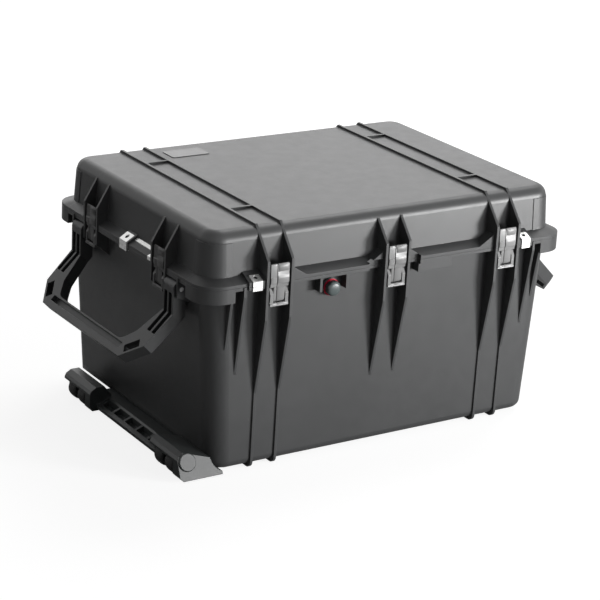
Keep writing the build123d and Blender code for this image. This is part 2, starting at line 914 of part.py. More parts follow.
with BuildPart() as lid_moulding:
    add(lid_body.part)
    add(lid_cavity.part, mode=Mode.SUBTRACT)
    extrude(
        rim_ring(lid_foot, seal_setback, seal_groove_width),
        amount=seal_groove_depth,
        mode=Mode.SUBTRACT,
    )
    rim_pockets(lid_foot - overcut, pocket_high)
    knuckle_slots(hinge_leaf_offset)
    hinge_bores(hinge_pin_radius + running_clearance)
    for bay in latch_bays:
        rim_bay_cut(bay, lid_foot - overcut, slope_top + overcut)
    padlock_bores(lid_foot - overcut, hasp_pad_top + overcut)

with BuildPart() as lid_rim_space:
    block(
        (-end_fin_reach, end_fin_reach),
        (-front_fin_reach, front_fin_reach),
        (lid_foot, lid_end_kink_height),
    )
    add(lid_dome.part, mode=Mode.SUBTRACT)

with BuildPart() as lid_shell:
    add(lid_moulding.part)
    add(lid_rim_space.part, mode=Mode.SUBTRACT)
save(lid_shell.part, "lid_shell")
save(rim_runs(lid_moulding.part & lid_rim_space.part), "lid_rim")

with BuildPart() as lid_fins_front:
    for x in pair_positions:
        lengthwise_plate(x, lid_pair_fin)
    for x in (-bay_half_spacing, bay_half_spacing):
        lengthwise_plate(x, lid_centre_fin)
    add(lid_body.part, mode=Mode.SUBTRACT)
    for bay in ("front_left", "front_centre", "front_right"):
        bay_rod(bay, keeper_inset, keeper_height, keeper_radius, 2 * bay_half_spacing, Mode.SUBTRACT)
save(lid_fins_front.part, "lid_fins_front")

# Rear fins with the lid's hinge knuckles
with BuildPart() as lid_fins_rear:
    for x in hinge_stations:
        for leaf in (x - bay_half_spacing, x + bay_half_spacing):
            lengthwise_plate(leaf, mirrored(lid_pair_fin if x else lid_centre_fin))
            lengthwise_rod(
                leaf - fin_thickness / 2, leaf + fin_thickness / 2, hinge_line, parting_height, knuckle_radius
            )
    add(lid_body.part, mode=Mode.SUBTRACT)
    hinge_bores(hinge_pin_radius + running_clearance)
save(lid_fins_rear.part, "lid_fins_rear")

with BuildPart() as lid_fins_ends:
    for side in (-1, 1):
        for bay in (-end_bay_offset, end_bay_offset):
            for fin in (bay - bay_half_spacing, bay + bay_half_spacing):
                crosswise_plate(fin, lid_end_fin(side))
    add(lid_body.part, mode=Mode.SUBTRACT)
    for bay in ("left_front", "left_rear", "right_front", "right_rear"):
        bay_rod(bay, keeper_inset, keeper_height, keeper_radius, 2 * bay_half_spacing, Mode.SUBTRACT)
save(lid_fins_ends.part, "lid_fins_ends")

# ------------------------------------------------------------------ seal and label
with BuildPart() as lid_seal:
    extrude(
        rim_ring(
            lid_foot + seal_groove_depth - seal_thickness,
            seal_setback,
            seal_groove_width - 2 * seal_side_gap,
        ),
        amount=seal_thickness,
    )
save(lid_seal.part, "lid_seal")

with BuildPart() as label_plate:
    with BuildSketch(Plane.XY.offset(lid_top)) as label_area:
        with Locations(label_centre):
            RectangleRounded(label_length, label_width, label_corner)
    extrude(amount=label_thickness)
    chamfer(label_plate.faces().sort_by(Axis.Z)[-1].edges(), label_edge)
save(label_plate.part, "label_plate")

# --------------------------------------------------------------------- steel pins
with BuildPart() as hinge_pins:
    for x in hinge_stations:
        lengthwise_rod(x - fin_face, x + fin_face, hinge_line, parting_height, hinge_pin_radius)
save(hinge_pins.part, "hinge_pins")

with BuildPart() as lever_pins:
    for bay in latch_bays:
        bay_rod(bay, lever_pin_inset, lever_pin_height, lever_pin_radius, 2 * bay_half_spacing)
save(lever_pins.part, "lever_pins")

with BuildPart() as keeper_pins:
    for bay in latch_bays:
        bay_rod(bay, keeper_inset, keeper_height, keeper_radius, 2 * bay_half_spacing)
save(keeper_pins.part, "keeper_pins")

# ------------------------------------------------------------------------ latches
claw_pin_inset = lever_pin_inset + claw_pin_offset
claw_pin_height = lever_pin_height - claw_pin_drop
latch_back = latch_face_inset + latch_plate
hook_reach = keeper_inset - keeper_radius - claw_hook_side_gap
hook_low = keeper_height + keeper_radius + claw_hook_gap


def make_lever(bay):
    """Outer lever: two cheeks on the base pin, joined by a bar with a finger lip."""
    top = lever_pin_height + lever_boss_radius
    back = lever_pin_inset + lever_boss_radius
    with BuildPart() as lever:
        bay_profile(
            bay,
            [
                (-back, lever_pin_height),
                (-back, claw_pin_height - claw_pin_radius),
                (-latch_back - latch_plate, lever_bottom_height),
                (0, lever_bottom_height),
                (-latch_face_inset, lever_bottom_height + lever_bar_height),
                (-latch_face_inset, lever_pin_height - lever_boss_radius),
                (-lever_pin_inset + latch_plate, top),
                (-lever_pin_inset - latch_plate, top),
            ],
            latch_width,
        )
        bay_profile(
            bay,
            [
                (-back - overcut, lever_bottom_height - overcut),
                (-latch_back, lever_bottom_height - overcut),
                (-latch_back, lever_bottom_height + lever_bar_height),
                (overcut, lever_bottom_height + lever_bar_height),
                (overcut, top + overcut),
                (-back - overcut, top + overcut),
            ],
            claw_tongue_width + 2 * claw_tongue_gap,
            Mode.SUBTRACT,
        )
        bay_rod(
            bay,
            lever_pin_inset,
            lever_pin_height,
            lever_pin_radius + running_clearance,
            latch_width + overcut,
            Mode.SUBTRACT,
        )
        bay_rod(bay, claw_pin_inset, claw_pin_height, claw_pin_radius, latch_width + overcut, Mode.SUBTRACT)
    return lever.part


def make_claw(bay):
    """Claw: tongue on the lever pin, wide plate across the rim, hook over the keeper pin."""
    with BuildPart() as claw:
        bay_profile(
            bay,
            [
                (-latch_back, claw_shoulder_height),
                (-latch_back, hook_low),
                (-hook_reach, hook_low),
                (-hook_reach, hook_low + claw_hook_thickness),
                (-latch_back, claw_top_height - claw_step),
                (-latch_back + claw_step, claw_top_height),
                (-latch_face_inset - claw_step, claw_top_height),
                (-latch_face_inset - claw_step, claw_step_height + claw_step),
                (-latch_face_inset, claw_step_height),
                (-latch_face_inset, claw_shoulder_height),
            ],
            latch_width,
        )
        bay_profile(
            bay,
            [
                (-latch_back, claw_shoulder_height + overcut),
                (-latch_face_inset, claw_shoulder_height + overcut),
                (-latch_face_inset, claw_pin_height - claw_knuckle_radius),
                (-latch_back, claw_pin_height - claw_tail_drop),
                (-claw_pin_inset, claw_pin_height - claw_knuckle_radius),
                (-claw_pin_inset, claw_pin_height + claw_knuckle_radius),
                (-latch_back, claw_pin_height + claw_tail_drop - claw_knuckle_radius),
            ],
            claw_tongue_width,
        )
        bay_rod(bay, claw_pin_inset, claw_pin_height, claw_knuckle_radius, claw_tongue_width)
        bay_rod(
            bay,
            claw_pin_inset,
            claw_pin_height,
            claw_pin_radius + running_clearance,
            claw_tongue_width + overcut,
            Mode.SUBTRACT,
        )
    return claw.part


def make_claw_pin(bay):
    with BuildPart() as claw_pin:
        bay_rod(bay, claw_pin_inset, claw_pin_height, claw_pin_radius, latch_width)
    return claw_pin.part


for bay in latch_bays:
    save(make_lever(bay), "lever_" + bay)
    save(make_claw(bay), "claw_" + bay)
    save(make_claw_pin(bay), "claw_pin_" + bay)

# -------------------------------------------------------------------------- hasps
pad_slope_run = hasp_pad_reach - lid_reach_y(hasp_pad_top)
pad_slope_rise = hasp_pad_top - hasp_pad_nose


def folded_sheet(reach, slope_run):
    """Section of the upper plate: down the nose of the pad and back up its slope."""
    lift = hasp_sheet * hypot(slope_run, pad_slope_rise) / slope_run
    share = hasp_lip / slope_run
    back = reach - slope_run * share
    back_height = hasp_pad_nose + pad_slope_rise * share
    return [
        (-reach, lid_foot),
        (-reach - hasp_sheet, lid_foot),
        (-reach - hasp_sheet, hasp_pad_nose + lift / 2),
        (-reach, hasp_pad_nose + lift),
        (-back, back_height + lift),
        (-back, back_height),
        (-reach, hasp_pad_nose),
    ]


def lower_sheet(reach):
    """Section of the lower plate: down the rim edge and in under it."""
    low = base_top - rim_thickness
    return [
        (-reach, base_top),
        (-reach - hasp_sheet, base_top),
        (-reach - hasp_sheet, low - hasp_sheet),
        (-reach + hasp_lip, low - hasp_sheet),
        (-reach + hasp_lip, low),
        (-reach, low),
    ]


end_slope_run = end_pad_reach - lid_reach_x(hasp_pad_top)
with BuildPart() as hasp_plates_lid:
    for side in (-1, 1):
        lengthwise_plate(side * hasp_position, folded_sheet(hasp_pad_reach, pad_slope_run), hasp_width)
        sheet = [(-side * across, height) for across, height in folded_sheet(end_pad_reach, end_slope_run)]
        crosswise_plate(0, sheet, end_hasp_width)
    padlock_bores(lid_foot - overcut, hasp_pad_top + 2 * hasp_sheet)
save(hasp_plates_lid.part, "hasp_plates_lid")

with BuildPart() as hasp_plates_base:
    for side in (-1, 1):
        lengthwise_plate(side * hasp_position, lower_sheet(hasp_pad_reach), hasp_width)
        sheet = [(-side * across, height) for across, height in lower_sheet(end_pad_reach)]
        crosswise_plate(0, sheet, end_hasp_width)
    padlock_bores(base_top - rim_thickness - 2 * hasp_sheet, base_top + overcut)
save(hasp_plates_base.part, "hasp_plates_base")

# Steel strips along the upper edge of the end rims, from the hasp to a folded tab at the first fin
strip_run = rim_reach_x - lid_reach_x(slope_top) + rim_slope_inset
strip_lift = strip_sheet * hypot(strip_run, rim_slope_height) / strip_run
strip_edge = lid_foot + rim_thickness


def slope_point(side, share, lift):
    """Point on the lid rim's end slope, a share of the way up, lifted by the sheet."""
    return (side * (rim_reach_x - strip_run * share), strip_edge + rim_slope_height * share + lift)


with BuildPart() as rim_strips:
    for side in (-1, 1):
        crosswise_plate(
            -(strip_start + strip_end) / 2,
            [
                slope_point(side, strip_low_share, 0),
                slope_point(side, strip_low_share, strip_lift),
                slope_point(side, 1, strip_lift),
                slope_point(side, 1, 0),
            ],
            strip_end - strip_start,
        )
        crosswise_plate(
            -strip_end + strip_tab_width / 2,
            [
                (side * rim_reach_x, lid_foot),
                (side * (rim_reach_x + strip_sheet), lid_foot),
                (side * (rim_reach_x + strip_sheet), strip_edge + strip_lift),
                slope_point(side, strip_low_share, strip_lift),
                slope_point(side, strip_low_share, 0),
                slope_point(side, 0, 0),
            ],
            strip_tab_width,
        )
    add(lid_body.part, mode=Mode.SUBTRACT)
save(rim_strips.part, "rim_strips")

# ------------------------------------------------------------------------ handles
bend = radians(handle_bend_angle)


def handle_plane(side):
    """Plane of the bent part's outer face: local x along Y, local y down the handle."""
    return Plane(
        origin=(side * handle_outer_face, 0, handle_bend_height),
        x_dir=(0, -side, 0),
        z_dir=(side * cos(bend), 0, sin(bend)),
    )


def handle_side_outline(side):
    """Side view: straight arms, then the bent part that carries the grip."""
    end_x = handle_outer_face + handle_drop * sin(bend)
    end_z = handle_bend_height - handle_drop * cos(bend)
    back_x = end_x - handle_bar_thickness * cos(bend)
    back_z = end_z - handle_bar_thickness * sin(bend)
    inner_face = handle_outer_face - handle_arm_thickness
    inner_z = back_z + (back_x - inner_face) * cos(bend) / sin(bend)
    return [
        (side * handle_outer_face, handle_pivot_height),
        (side * handle_outer_face, handle_bend_height),
        (side * end_x, end_z),
        (side * back_x, back_z),
        (side * inner_face, inner_z),
        (side * inner_face, handle_pivot_height),
    ]


def make_handle(side):
    half = handle_width / 2
    inner = half - handle_arm_width
    grip_top = handle_drop - handle_grip_depth
    channel = (handle_arm_width - 3 * handle_rib) / 2
    beyond = 2 * handle_drop
    with BuildPart() as handle:
        crosswise_plate(0, handle_side_outline(side), handle_width)
        crosswise_rod(-half, half, side * handle_pivot_x, handle_pivot_height, handle_arm_thickness / 2)
        # Outer outline with chamfered lower corners
        with BuildSketch(handle_plane(side)) as outer:
            with BuildLine():
                Polyline(
                    (-half, -beyond),
                    (-half, 0),
                    (-half + handle_corner_inset, handle_corner_drop),
                    (-handle_grip_outer / 2, handle_drop),
                    (handle_grip_outer / 2, handle_drop),
                    (half - handle_corner_inset, handle_corner_drop),
                    (half, 0),
                    (half, -beyond),
                    close=True,
                )
            make_face()
        extrude(outer.sketch, amount=beyond, both=True, mode=Mode.INTERSECT)
        # Hand opening
        with BuildSketch(handle_plane(side)) as opening:
            with BuildLine():
                Polyline(
                    (-inner, -beyond),
                    (-inner, 0),
                    (-handle_shoulder_inner / 2, handle_shoulder_drop),
                    (-handle_grip_inner / 2, grip_top),
                    (handle_grip_inner / 2, grip_top),
                    (handle_shoulder_inner / 2, handle_shoulder_drop),
                    (inner, 0),
                    (inner, -beyond),
                    close=True,
                )
            make_face()
            corners = opening.vertices().filter_by_position(Axis.Y, 1, handle_drop)
            fillet(corners, handle_inner_radius)
        extrude(opening.sketch, amount=beyond, both=True, mode=Mode.SUBTRACT)
        # Two channels down each arm leave three ribs
        with BuildSketch(handle_plane(side)) as channels:
            for arm in (-handle_arm_mid, handle_arm_mid):
                for step in (-1, 1):
                    with Locations((arm + step * (channel + handle_rib) / 2, grip_top / 4)):
                        Rectangle(channel, grip_top / 2 + handle_rib)
        extrude(channels.sketch, amount=-handle_channel_depth, mode=Mode.SUBTRACT)
        upper_low = handle_bend_height - handle_rib
        upper_high = handle_pivot_height - handle_pin_radius - handle_rib
        for arm in (-handle_arm_mid, handle_arm_mid):
            for step in (-1, 1):
                middle = arm + step * (channel + handle_rib) / 2
                block(
                    sorted(
                        (
                            side * (handle_outer_face + overcut),
                            side * (handle_outer_face - handle_channel_depth),
                        )
                    ),
                    (middle - channel / 2, middle + channel / 2),
                    (upper_low, upper_high),
                    Mode.SUBTRACT,
                )
        # Windows behind the chamfered corners and the channel along the grip
        corner_across = half - handle_corner_inset - handle_grip_outer / 2
        corner_down = handle_drop - handle_corner_drop
        corner_size = hypot(corner_across, corner_down)
        window_inset = handle_window_rim + handle_window_width / 2
        window_across = between(half - handle_corner_inset, handle_grip_outer / 2, 0.5)
        window_across -= window_inset * corner_down / corner_size
        window_down = between(handle_corner_drop, handle_drop, 0.5) - window_inset * corner_across / corner_size
        with BuildSketch(handle_plane(side)) as windows:
            for end in (-1, 1):
                slant = -end * degrees(atan2(corner_down, corner_across))
                with Locations(Location((end * window_across, window_down), slant)):
                    Rectangle(handle_window_length, handle_window_width)
        extrude(windows.sketch, amount=beyond, both=True, mode=Mode.SUBTRACT)
        with BuildSketch(handle_plane(side)) as grip_channel:
            with Locations((0, (grip_top + handle_inner_rail + handle_drop - handle_outer_band) / 2)):
                Rectangle(
                    handle_grip_channel, handle_grip_depth - handle_inner_rail - handle_outer_band
                )
        extrude(grip_channel.sketch, amount=-handle_channel_depth, mode=Mode.SUBTRACT)
        crosswise_rod(
            -half - overcut,
            half + overcut,
            side * handle_pivot_x,
            handle_pivot_height,
            handle_pin_radius + running_clearance,
            Mode.SUBTRACT,
        )
    return handle.part


for side, name in ((-1, "handle_left"), (1, "handle_right")):
    save(make_handle(side), name)

with BuildPart() as handle_pins:
    handle_pin_rods(handle_pin_radius)
save(handle_pins.part, "handle_pins")

# ---------------------------------------------------------------------- wheel bar
wheel_positions = {
    "front_outer": front_wheel_position - wheel_half_spacing,
    "front_inner": front_wheel_position + wheel_half_spacing,
    "rear_inner": rear_wheel_position - wheel_half_spacing,
    "rear_outer": rear_wheel_position + wheel_half_spacing,
}
pod_upper_side = [
    (-pod_crease, pod_top),
    (-pod_overhang + pod_shoulder / 2, pod_top - pod_shoulder),
    (-pod_overhang, pod_top - 2 * pod_shoulder),
]
block_side = pod_upper_side + [
    (-pod_overhang, pod_bottom + pod_lower_chamfer),
    (-pod_overhang + pod_lower_chamfer, pod_bottom),
]
wheel_side = pod_upper_side + [
    (-pod_overhang, fender_low),
    (-pod_overhang + fender_overhang, fender_low),
    (-pod_overhang + fender_overhang, pod_bottom + pod_lower_chamfer),
    (-pod_overhang + fender_overhang + pod_lower_chamfer, pod_bottom),
]
bar_section = [
    (-bar_inner_edge, bar_bottom),
    (-bar_inner_edge, bar_top),
    (-bar_plate_edge, bar_top),
    (-bar_plate_edge - bar_edge_chamfer, bar_top - bar_edge_chamfer),
    (-bar_outer_face, bar_rail_top),
    (-bar_outer_face, bar_bottom),
]
front_pod_inside = [
    (-bar_inner_edge, pod_bottom),
    (-bar_inner_edge, front_pod_seat),
    (-undercut_line - undercut_radius, front_pod_seat),
]
rear_pod_inside = [
    (-rear_pod_inner_face, pod_bottom),
    (-rear_pod_inner_face, rear_pod_inner_kink),
    (-rear_pod_crown, pod_top),
]


def bar_length(start, end, outline):
    crosswise_plate((start + end) / 2, outline, end - start)


def axle_rods(radius, mode=Mode.ADD):
    axle_half = wheel_half_spacing + wheel_width / 2 + axle_bearing
    for pod in (front_wheel_position, rear_wheel_position):
        crosswise_rod(pod - axle_half, pod + axle_half, -axle_line, wheel_radius, radius, mode)


toe_top = pod_top + overcut
with BuildPart() as wheel_bar:
    bar_length(front_pod_back, bar_rear_end, bar_section)
    # Pockets along the bar, between its top plate and the lower rail
    pocket_inner = bar_plate_edge + bar_edge_chamfer
    pocket_outer = bar_outer_face - bar_rail_width
    with BuildSketch(Plane.XY.offset(bar_pocket_floor)) as pocket_row:
        with Locations((-(pocket_inner + pocket_outer) / 2, (front_pod_back + rear_pod_front) / 2)):
            with GridLocations(0, bar_pocket_pitch, 1, bar_pockets):
                Rectangle(pocket_outer - pocket_inner, bar_pocket_length)
    extrude(pocket_row.sketch, amount=bar_top, mode=Mode.SUBTRACT)
    # Each pod has a full block at its front end and a fender over its two wheels
    bar_length(front_pod_toe, front_pod_toe + front_end_block, front_pod_inside + block_side)
    bar_length(front_pod_toe + front_end_block, front_pod_back, front_pod_inside + wheel_side)
    bar_length(rear_pod_front, rear_pod_front + pod_end_block, rear_pod_inside + block_side)
    bar_length(rear_pod_front + pod_end_block, rear_pod_back, rear_pod_inside + wheel_side)
    # Sloping front end of the front pod
    lengthwise_plate(
        -(bar_inner_edge + pod_overhang) / 2,
        [(front_pod_toe, pod_bottom), (front_pod_brow, toe_top), (front_pod_toe, toe_top)],
        pod_overhang,
        Mode.SUBTRACT,
    )
    # Seat against the rounded lower edge of the case
    crosswise_rod(
        front_pod_toe - overcut,
        rear_pod_back + overcut,
        -undercut_line,
        undercut_height,
        undercut_radius + bar_seat_gap,
        Mode.SUBTRACT,
    )
    for y in wheel_positions.values():
        low = y - wheel_width / 2 - wheel_side_room
        high = y + wheel_width / 2 + wheel_side_room
        crosswise_rod(low, high, -axle_line, wheel_radius, wheel_radius + wheel_room, Mode.SUBTRACT)
        block(
            (-axle_line - wheel_radius - wheel_room, -axle_line + wheel_radius + wheel_room),
            (low, high),
            (pod_bottom - overcut, wheel_radius),
            Mode.SUBTRACT,
        )
    axle_rods(axle_radius, Mode.SUBTRACT)
save(wheel_bar.part, "wheel_bar")

with BuildPart() as wheel_axles:
    axle_rods(axle_radius)
save(wheel_axles.part, "wheel_axles")

# Round cap on the sloping front end
toe_run = front_pod_brow - front_pod_toe
toe_rise = toe_top - pod_bottom
cap_plane = Plane(
    origin=(
        -bar_cap_position,
        front_pod_toe + toe_run * (bar_cap_height - pod_bottom) / toe_rise,
        bar_cap_height,
    ),
    x_dir=(1, 0, 0),
    z_dir=(0, -toe_rise, toe_run),
)
with BuildPart() as bar_cap:
    with BuildSketch(cap_plane):
        Circle(bar_cap_radius)
    extrude(amount=bar_cap_proud)
    chamfer(bar_cap.faces().sort_by(Axis.Y)[0].edges(), bar_cap_edge)
save(bar_cap.part, "bar_cap")


def make_hub(y):
    with BuildPart() as hub:
        crosswise_rod(y - wheel_width / 2, y + wheel_width / 2, -axle_line, wheel_radius, hub_radius)
        # Dished faces round the boss
        for low, high in (
            (y - wheel_width / 2, y - wheel_width / 2 + hub_dish),
            (y + wheel_width / 2 - hub_dish, y + wheel_width / 2),
        ):
            crosswise_rod(low, high, -axle_line, wheel_radius, hub_radius - hub_rim, Mode.SUBTRACT)
            crosswise_rod(low, high, -axle_line, wheel_radius, axle_radius + hub_boss)
        crosswise_rod(
            y - wheel_width,
            y + wheel_width,
            -axle_line,
            wheel_radius,
            axle_radius + running_clearance,
            Mode.SUBTRACT,
        )
    return hub.part


def make_tyre(y):
    with BuildPart() as tyre:
        crosswise_rod(y - wheel_width / 2, y + wheel_width / 2, -axle_line, wheel_radius, wheel_radius)
        chamfer(tyre.edges().filter_by(GeomType.CIRCLE), tyre_edge)
        crosswise_rod(
            y - wheel_width, y + wheel_width, -axle_line, wheel_radius, hub_radius, Mode.SUBTRACT
        )
    return tyre.part


for name, y in wheel_positions.items():
    save(make_hub(y), "hub_" + name)
    save(make_tyre(y), "tyre_" + name)

# -------------------------------------------------------------------- purge valve
valve_face = base_reach_y(valve_height + valve_flange_radius) + valve_seat_gap
ring_face = valve_face + valve_flange
knob_face = ring_face + valve_ring + valve_seat_gap
with BuildPart() as valve_body:
    crosswise_rod(-ring_face, -valve_face, valve_position, valve_height, valve_flange_radius)
    crosswise_rod(
        -valve_face,
        -valve_face + 2 * base_wall + valve_nut_depth,
        valve_position,
        valve_height,
        valve_hole_radius - valve_seat_gap,
    )
    crosswise_rod(
        -knob_face - valve_knob_depth + valve_ring,
        -ring_face,
        valve_position,
        valve_height,
        valve_spindle_radius,
    )
save(valve_body.part, "valve_body")

with BuildPart() as valve_ring_part:
    crosswise_rod(-ring_face - valve_ring, -ring_face, valve_position, valve_height, valve_ring_radius)
    crosswise_rod(
        -ring_face - valve_ring,
        -ring_face,
        valve_position,
        valve_height,
        valve_spindle_radius + valve_ring_room,
        Mode.SUBTRACT,
    )
save(valve_ring_part.part, "valve_ring")

with BuildPart() as valve_knob:
    crosswise_rod(
        -knob_face - valve_knob_depth, -knob_face, valve_position, valve_height, valve_knob_radius
    )
    chamfer(valve_knob.faces().sort_by(Axis.Y)[0].edges(), valve_knob_edge)
    # Finger flutes round the knob
    with BuildSketch(Plane.XZ.offset(knob_face + valve_knob_depth)) as flutes:
        with Locations((valve_position, valve_height)):
            with PolarLocations(valve_knob_radius, valve_knob_flutes):
                Rectangle(valve_knob_edge, valve_knob_edge)
    extrude(flutes.sketch, amount=-valve_knob_depth, mode=Mode.SUBTRACT)
    crosswise_rod(
        -knob_face - valve_knob_depth + valve_knob_cover,
        -knob_face,
        valve_position,
        valve_height,
        valve_spindle_radius + running_clearance,
        Mode.SUBTRACT,
    )
save(valve_knob.part, "valve_knob")

nut_face = base_reach_y(valve_height - valve_nut_radius) - base_wall - valve_seat_gap
with BuildPart() as valve_nut:
    with BuildSketch(Plane.XZ.offset(nut_face)) as nut:
        with Locations((valve_position, valve_height)):
            RegularPolygon(valve_nut_radius, 6)
            Circle(valve_hole_radius - valve_seat_gap, mode=Mode.SUBTRACT)
    extrude(amount=-valve_nut_depth)
save(valve_nut.part, "valve_nut")
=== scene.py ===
import bmesh
import bpy
import json
from math import cos, pi, radians, sin
from mathutils import Matrix, Vector


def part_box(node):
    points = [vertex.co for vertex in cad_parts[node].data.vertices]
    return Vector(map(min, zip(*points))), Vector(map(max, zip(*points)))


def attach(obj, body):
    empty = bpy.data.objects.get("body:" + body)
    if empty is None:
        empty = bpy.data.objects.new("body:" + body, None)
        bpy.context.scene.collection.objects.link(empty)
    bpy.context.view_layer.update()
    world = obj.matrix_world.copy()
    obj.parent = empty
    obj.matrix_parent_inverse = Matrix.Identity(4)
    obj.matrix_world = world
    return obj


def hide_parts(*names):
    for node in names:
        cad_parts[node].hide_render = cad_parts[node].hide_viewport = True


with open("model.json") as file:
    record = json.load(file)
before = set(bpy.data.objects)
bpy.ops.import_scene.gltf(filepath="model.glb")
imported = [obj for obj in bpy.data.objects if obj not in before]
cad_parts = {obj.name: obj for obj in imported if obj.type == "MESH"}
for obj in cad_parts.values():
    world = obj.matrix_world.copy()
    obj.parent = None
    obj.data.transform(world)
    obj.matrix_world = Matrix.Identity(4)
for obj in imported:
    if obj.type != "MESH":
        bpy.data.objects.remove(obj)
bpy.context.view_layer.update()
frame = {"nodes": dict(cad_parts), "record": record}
nodes = frame["nodes"]
slots = {part["node"]: part["material_slot"] for part in frame["record"]["subparts"]}
MM = 0.001
UP = Vector((0, 0, 1))
WHITE = (1, 1, 1)


# ---------------------------------------------------------------- shader nodes
def new_material(name, colour, roughness, metallic=0.0, specular=0.5):
    material = bpy.data.materials.new(name)
    material.use_nodes = True
    shader = material.node_tree.nodes["Principled BSDF"]
    shader.inputs["Base Color"].default_value = (*colour, 1)
    shader.inputs["Roughness"].default_value = roughness
    shader.inputs["Metallic"].default_value = metallic
    shader.inputs["Specular IOR Level"].default_value = specular
    return material, material.node_tree, shader


def object_place(tree):
    """Where a spot lies on its own object, in metres."""
    return tree.nodes.new("ShaderNodeTexCoord").outputs["Object"]


def noise(tree, scale, detail, roughness=0.55, place=None):
    """Cloudy pattern, mostly from 0.3 to 0.7; a larger scale is finer."""
    texture = tree.nodes.new("ShaderNodeTexNoise")
    texture.inputs["Scale"].default_value = scale
    texture.inputs["Detail"].default_value = detail
    texture.inputs["Roughness"].default_value = roughness
    tree.links.new(object_place(tree) if place is None else place, texture.inputs["Vector"])
    return texture.outputs["Fac"]


def ramp(tree, source, low, high, out_low, out_high):
    """Value that goes from out_low to out_high while the source goes from low to high."""
    fit = tree.nodes.new("ShaderNodeMapRange")
    fit.inputs["From Min"].default_value = low
    fit.inputs["From Max"].default_value = high
    fit.inputs["To Min"].default_value = out_low
    fit.inputs["To Max"].default_value = out_high
    tree.links.new(source, fit.inputs["Value"])
    return fit.outputs["Result"]


def combine(tree, operation, first, second):
    """Two values added or multiplied, and kept from 0 to 1."""
    node = tree.nodes.new("ShaderNodeMath")
    node.operation = operation
    node.use_clamp = True
    tree.links.new(first, node.inputs[0])
    tree.links.new(second, node.inputs[1])
    return node.outputs[0]


def blend_colour(tree, share, first, second):
    """First colour at a share of 0 and second at 1; either can be another node's output."""
    mix = tree.nodes.new("ShaderNodeMix")
    mix.data_type = "RGBA"
    for side, colour in (("A", first), ("B", second)):
        if isinstance(colour, bpy.types.NodeSocket):
            tree.links.new(colour, mix.inputs[side])
        else:
            mix.inputs[side].default_value = (*colour, 1)
    tree.links.new(share, mix.inputs["Factor"])
    return mix.outputs["Result"]


def bump(tree, shader, source, strength, distance, before=None):
    """Relief in the shading only, laid over the normal from before, if there is one."""
    node = tree.nodes.new("ShaderNodeBump")
    node.inputs["Strength"].default_value = strength
    node.inputs["Distance"].default_value = distance
    tree.links.new(source, node.inputs["Height"])
    if before is not None:
        tree.links.new(before, node.inputs["Normal"])
    tree.links.new(node.outputs["Normal"], shader.inputs["Normal"])
    return node.outputs["Normal"]


def ray_share(tree, *kinds):
    """1 for rays of the named kinds, else 0."""
    path = tree.nodes.new("ShaderNodeLightPath")
    share = path.outputs["Is " + kinds[0] + " Ray"]
    for kind in kinds[1:]:
        share = combine(tree, "ADD", share, path.outputs["Is " + kind + " Ray"])
    return share


# ---------------------------------------------------------------------- camera
CAMERA_AZIMUTH = radians(33.42)
CAMERA_ELEVATION = radians(19.79)
CAMERA_ROLL = radians(3.14)
CAMERA_PLACE = Vector((-2.0697, -3.1210, 1.5349))
CAMERA_LENS = 126.185
CAMERA_SENSOR = 36
CAMERA_REACH = 50


def make_camera():
    """Camera that looks along the azimuth from +Y towards +X, and down by the elevation."""
    azimuth, elevation = CAMERA_AZIMUTH, CAMERA_ELEVATION
    forward = Vector((sin(azimuth) * cos(elevation), cos(azimuth) * cos(elevation), -sin(elevation)))
    level = Vector((cos(azimuth), -sin(azimuth), 0))
    upright = level.cross(forward)
    right = cos(CAMERA_ROLL) * level + sin(CAMERA_ROLL) * upright
    up = cos(CAMERA_ROLL) * upright - sin(CAMERA_ROLL) * level
    data = bpy.data.cameras.new("camera")
    data.lens = CAMERA_LENS
    data.sensor_width = CAMERA_SENSOR
    data.clip_end = CAMERA_REACH
    camera = bpy.data.objects.new("camera", data)
    turn = Matrix((right, up, -forward)).transposed().to_4x4()
    camera.matrix_world = Matrix.Translation(CAMERA_PLACE) @ turn
    bpy.context.scene.collection.objects.link(camera)
    bpy.context.scene.camera = camera


# ------------------------------------------------------------ lights and stage
# Each light's place, the spot it points at and its width and height, in metres, and its power in watts
LIGHTS = {
    "key": ((2.5, -3.1, 0.5), (0, 0, 0.3), (1.0, 0.95), 150),
    "fill": ((1.1, -3.5, 0.5), (0, 0, 0.3), (0.9, 0.8), 35),
    "lid_glow": ((1.2, 2.5, 1.4), (0.1, 0, 0.44), (2.6, 0.9), 13),
    "rim": ((1.5, 0.9, 2.7), (0, 0, 0.4), (1.6, 1.0), 26),
}
AMBIENT = (0.08, 0.08, 0.08)
FLOOR_SIZE = 18.0
FLOOR_DROP = 0.0006
FLOOR_COLOUR = (0.42, 0.42, 0.42)
FLOOR_MIRRORED = (0.9, 0.9, 0.9)
FLOOR_ROUGHNESS = 0.8
# Light that the camera sees added to the floor near the object, and the distances between which it
# rises to full white
FLOOR_LIFT = 0.86
FLOOR_FADE = (0.9, 2.2)


def area_light(name, place, target, size, power):
    data = bpy.data.lights.new(name, "AREA")
    data.shape = "RECTANGLE"
    data.size, data.size_y = size
    data.energy = power
    lamp = bpy.data.objects.new(name, data)
    lamp.location = place
    lamp.rotation_mode = "QUATERNION"
    lamp.rotation_quaternion = (Vector(target) - Vector(place)).to_track_quat("-Z", "Y")
    bpy.context.scene.collection.objects.link(lamp)


def make_world():
    """Dim studio light, which is white to the camera and in glossy and clear surfaces."""
    world = bpy.data.worlds.new("studio")
    world.use_nodes = True
    bpy.context.scene.world = world
    tree = world.node_tree
    seen = ray_share(tree, "Camera", "Transmission", "Glossy")
    tree.links.new(blend_colour(tree, seen, AMBIENT, WHITE), tree.nodes["Background"].inputs["Color"])


